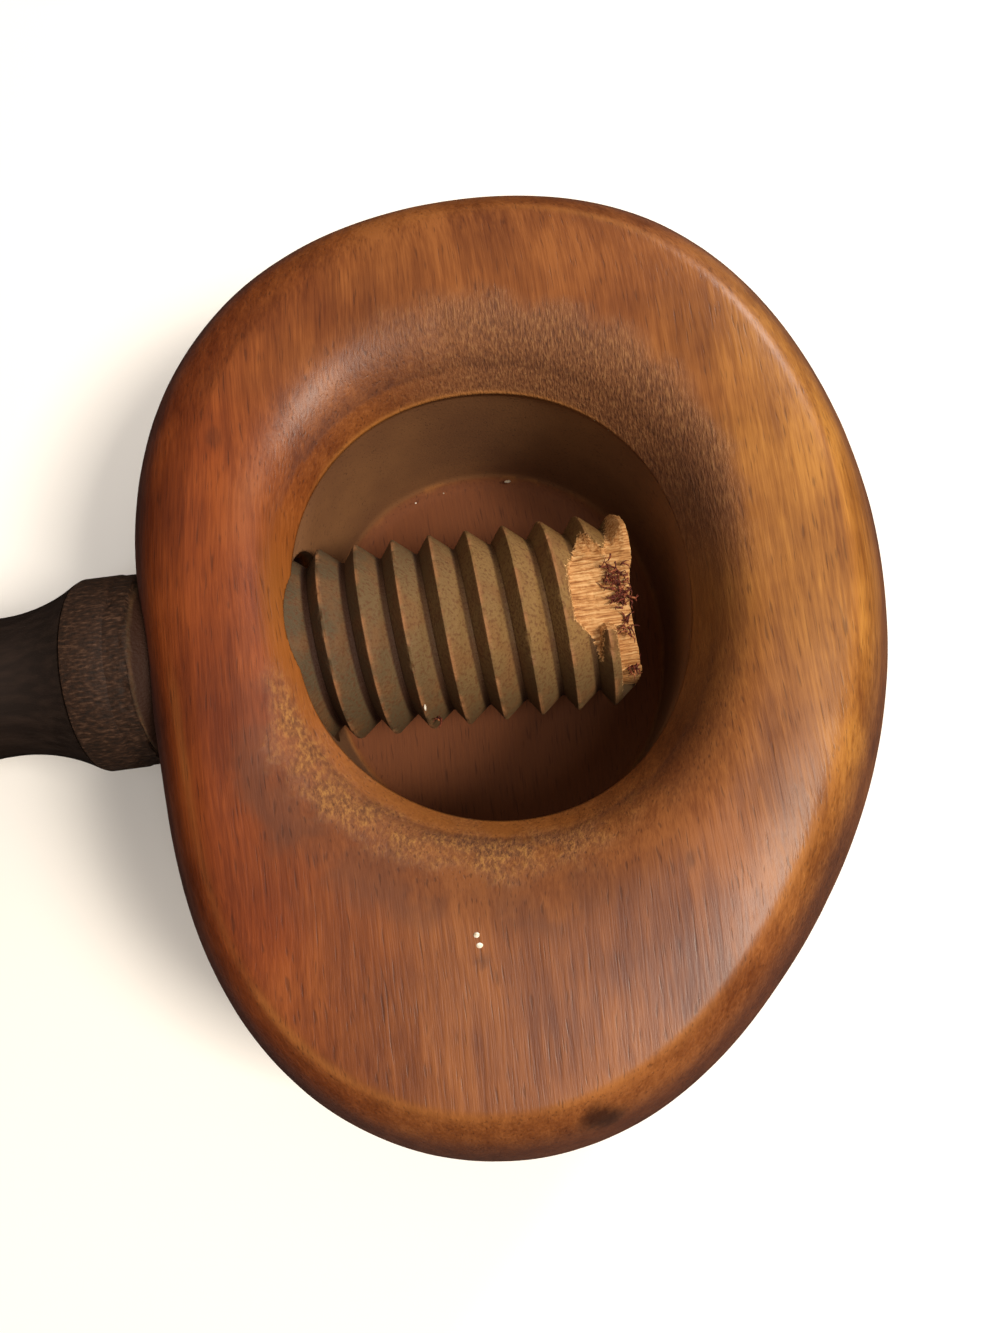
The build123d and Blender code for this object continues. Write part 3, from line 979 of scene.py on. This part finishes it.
class NUTCRACKER_OT_stage(bpy.types.Operator):
    """Set the stage: pale floor, soft lights and the camera at the photograph's angle"""
    bl_idname = "nutcracker.stage"
    bl_label = "Stage"

    def execute(self, context):
        looks = context.scene.nutcracker_stage
        shape = bmesh.new()
        bmesh.ops.create_grid(shape, x_segments=2, y_segments=2, size=1.5)
        floor = as_object(shape, "floor")
        floor.data.materials.append(new_material(studio_paper, looks))
        # a hair below the underside, so the two never share a plane
        floor.location.z = -0.0002
        # the varnish mirrors no white paper, as in the photograph
        floor.visible_glossy = False
        # an even light from overhead that fades towards the horizon
        world = bpy.data.worlds.new("studio")
        world.use_nodes = True
        sky = world.node_tree
        sky.nodes.clear()
        way = add(sky, "ShaderNodeTexCoord", out="Generated")
        height = add(sky, "ShaderNodeSeparateXYZ", {"Vector": way}, out="Z")
        strength = add(sky, "ShaderNodeMapRange", {
            "Value": height, "From Max": 0.8, "To Max": looks.sky})
        seen = add(sky, "ShaderNodeLightPath", out="Is Camera Ray")
        strength = add(sky, "ShaderNodeMix", {"Factor": seen, "A": strength, "B": WALL_STRENGTH},
                       data_type="FLOAT")
        light = add(sky, "ShaderNodeBackground", {
            "Color": linear("#FFEFDC"), "Strength": strength})
        add(sky, "ShaderNodeOutputWorld", {"Surface": light})
        context.scene.world = world
        soft_light("key", -27, 52, 0.3, looks.key_power, "#FFF4E4")
        soft_light("window", 44, 20, 0.2, looks.window_power, "#FFFFFF")
        soft_light("fill", -50, 71, 0.3, looks.fill_power, "#FFFFFF")
        lens = bpy.data.cameras.new("camera")
        lens.sensor_width = 36
        lens.lens = CAMERA_LENS
        lens.clip_start = 0.01
        camera = bpy.data.objects.new("camera", lens)
        right = Vector(CAMERA_RIGHT).normalized()
        ahead = Vector(CAMERA_AHEAD).normalized()
        up = right.cross(ahead).normalized()
        right = ahead.cross(up)
        turn = Matrix((right, up, -ahead)).transposed()
        camera.matrix_world = Matrix.Translation(CAMERA_PLACE) @ turn.to_4x4()
        context.scene.collection.objects.link(camera)
        context.scene.camera = camera
        context.scene.view_settings.view_transform = "Standard"
        return {"FINISHED"}


class NUTCRACKER_PT_sidebar(bpy.types.Panel):
    """Lists the nutcracker's pieces"""
    bl_label = "Nutcracker"
    bl_space_type = "VIEW_3D"
    bl_region_type = "UI"
    bl_category = "Nutcracker"

    def draw(self, context):
        for operator in OPERATORS:
            self.layout.operator(operator.bl_idname)


GROUPS = {"nutcracker_block": BlockLooks, "nutcracker_screw": ScrewLooks,
          "nutcracker_handle": HandleLooks, "nutcracker_stage": StageLooks}
OPERATORS = [NUTCRACKER_OT_stage, NUTCRACKER_OT_block, NUTCRACKER_OT_screw, NUTCRACKER_OT_splinters,
             NUTCRACKER_OT_grit, NUTCRACKER_OT_handle]


def register():
    for name, group in GROUPS.items():
        bpy.utils.register_class(group)
        setattr(bpy.types.Scene, name, bpy.props.PointerProperty(type=group))
    for item in [*OPERATORS, NUTCRACKER_PT_sidebar]:
        bpy.utils.register_class(item)


def unregister():
    for item in [NUTCRACKER_PT_sidebar, *reversed(OPERATORS)]:
        bpy.utils.unregister_class(item)
    for name, group in GROUPS.items():
        delattr(bpy.types.Scene, name)
        bpy.utils.unregister_class(group)


def main():
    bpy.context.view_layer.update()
    register()
    for operator in OPERATORS:
        group, _, action = operator.bl_idname.partition(".")
        getattr(getattr(bpy.ops, group), action)()


if __name__ == "__main__":
    main()
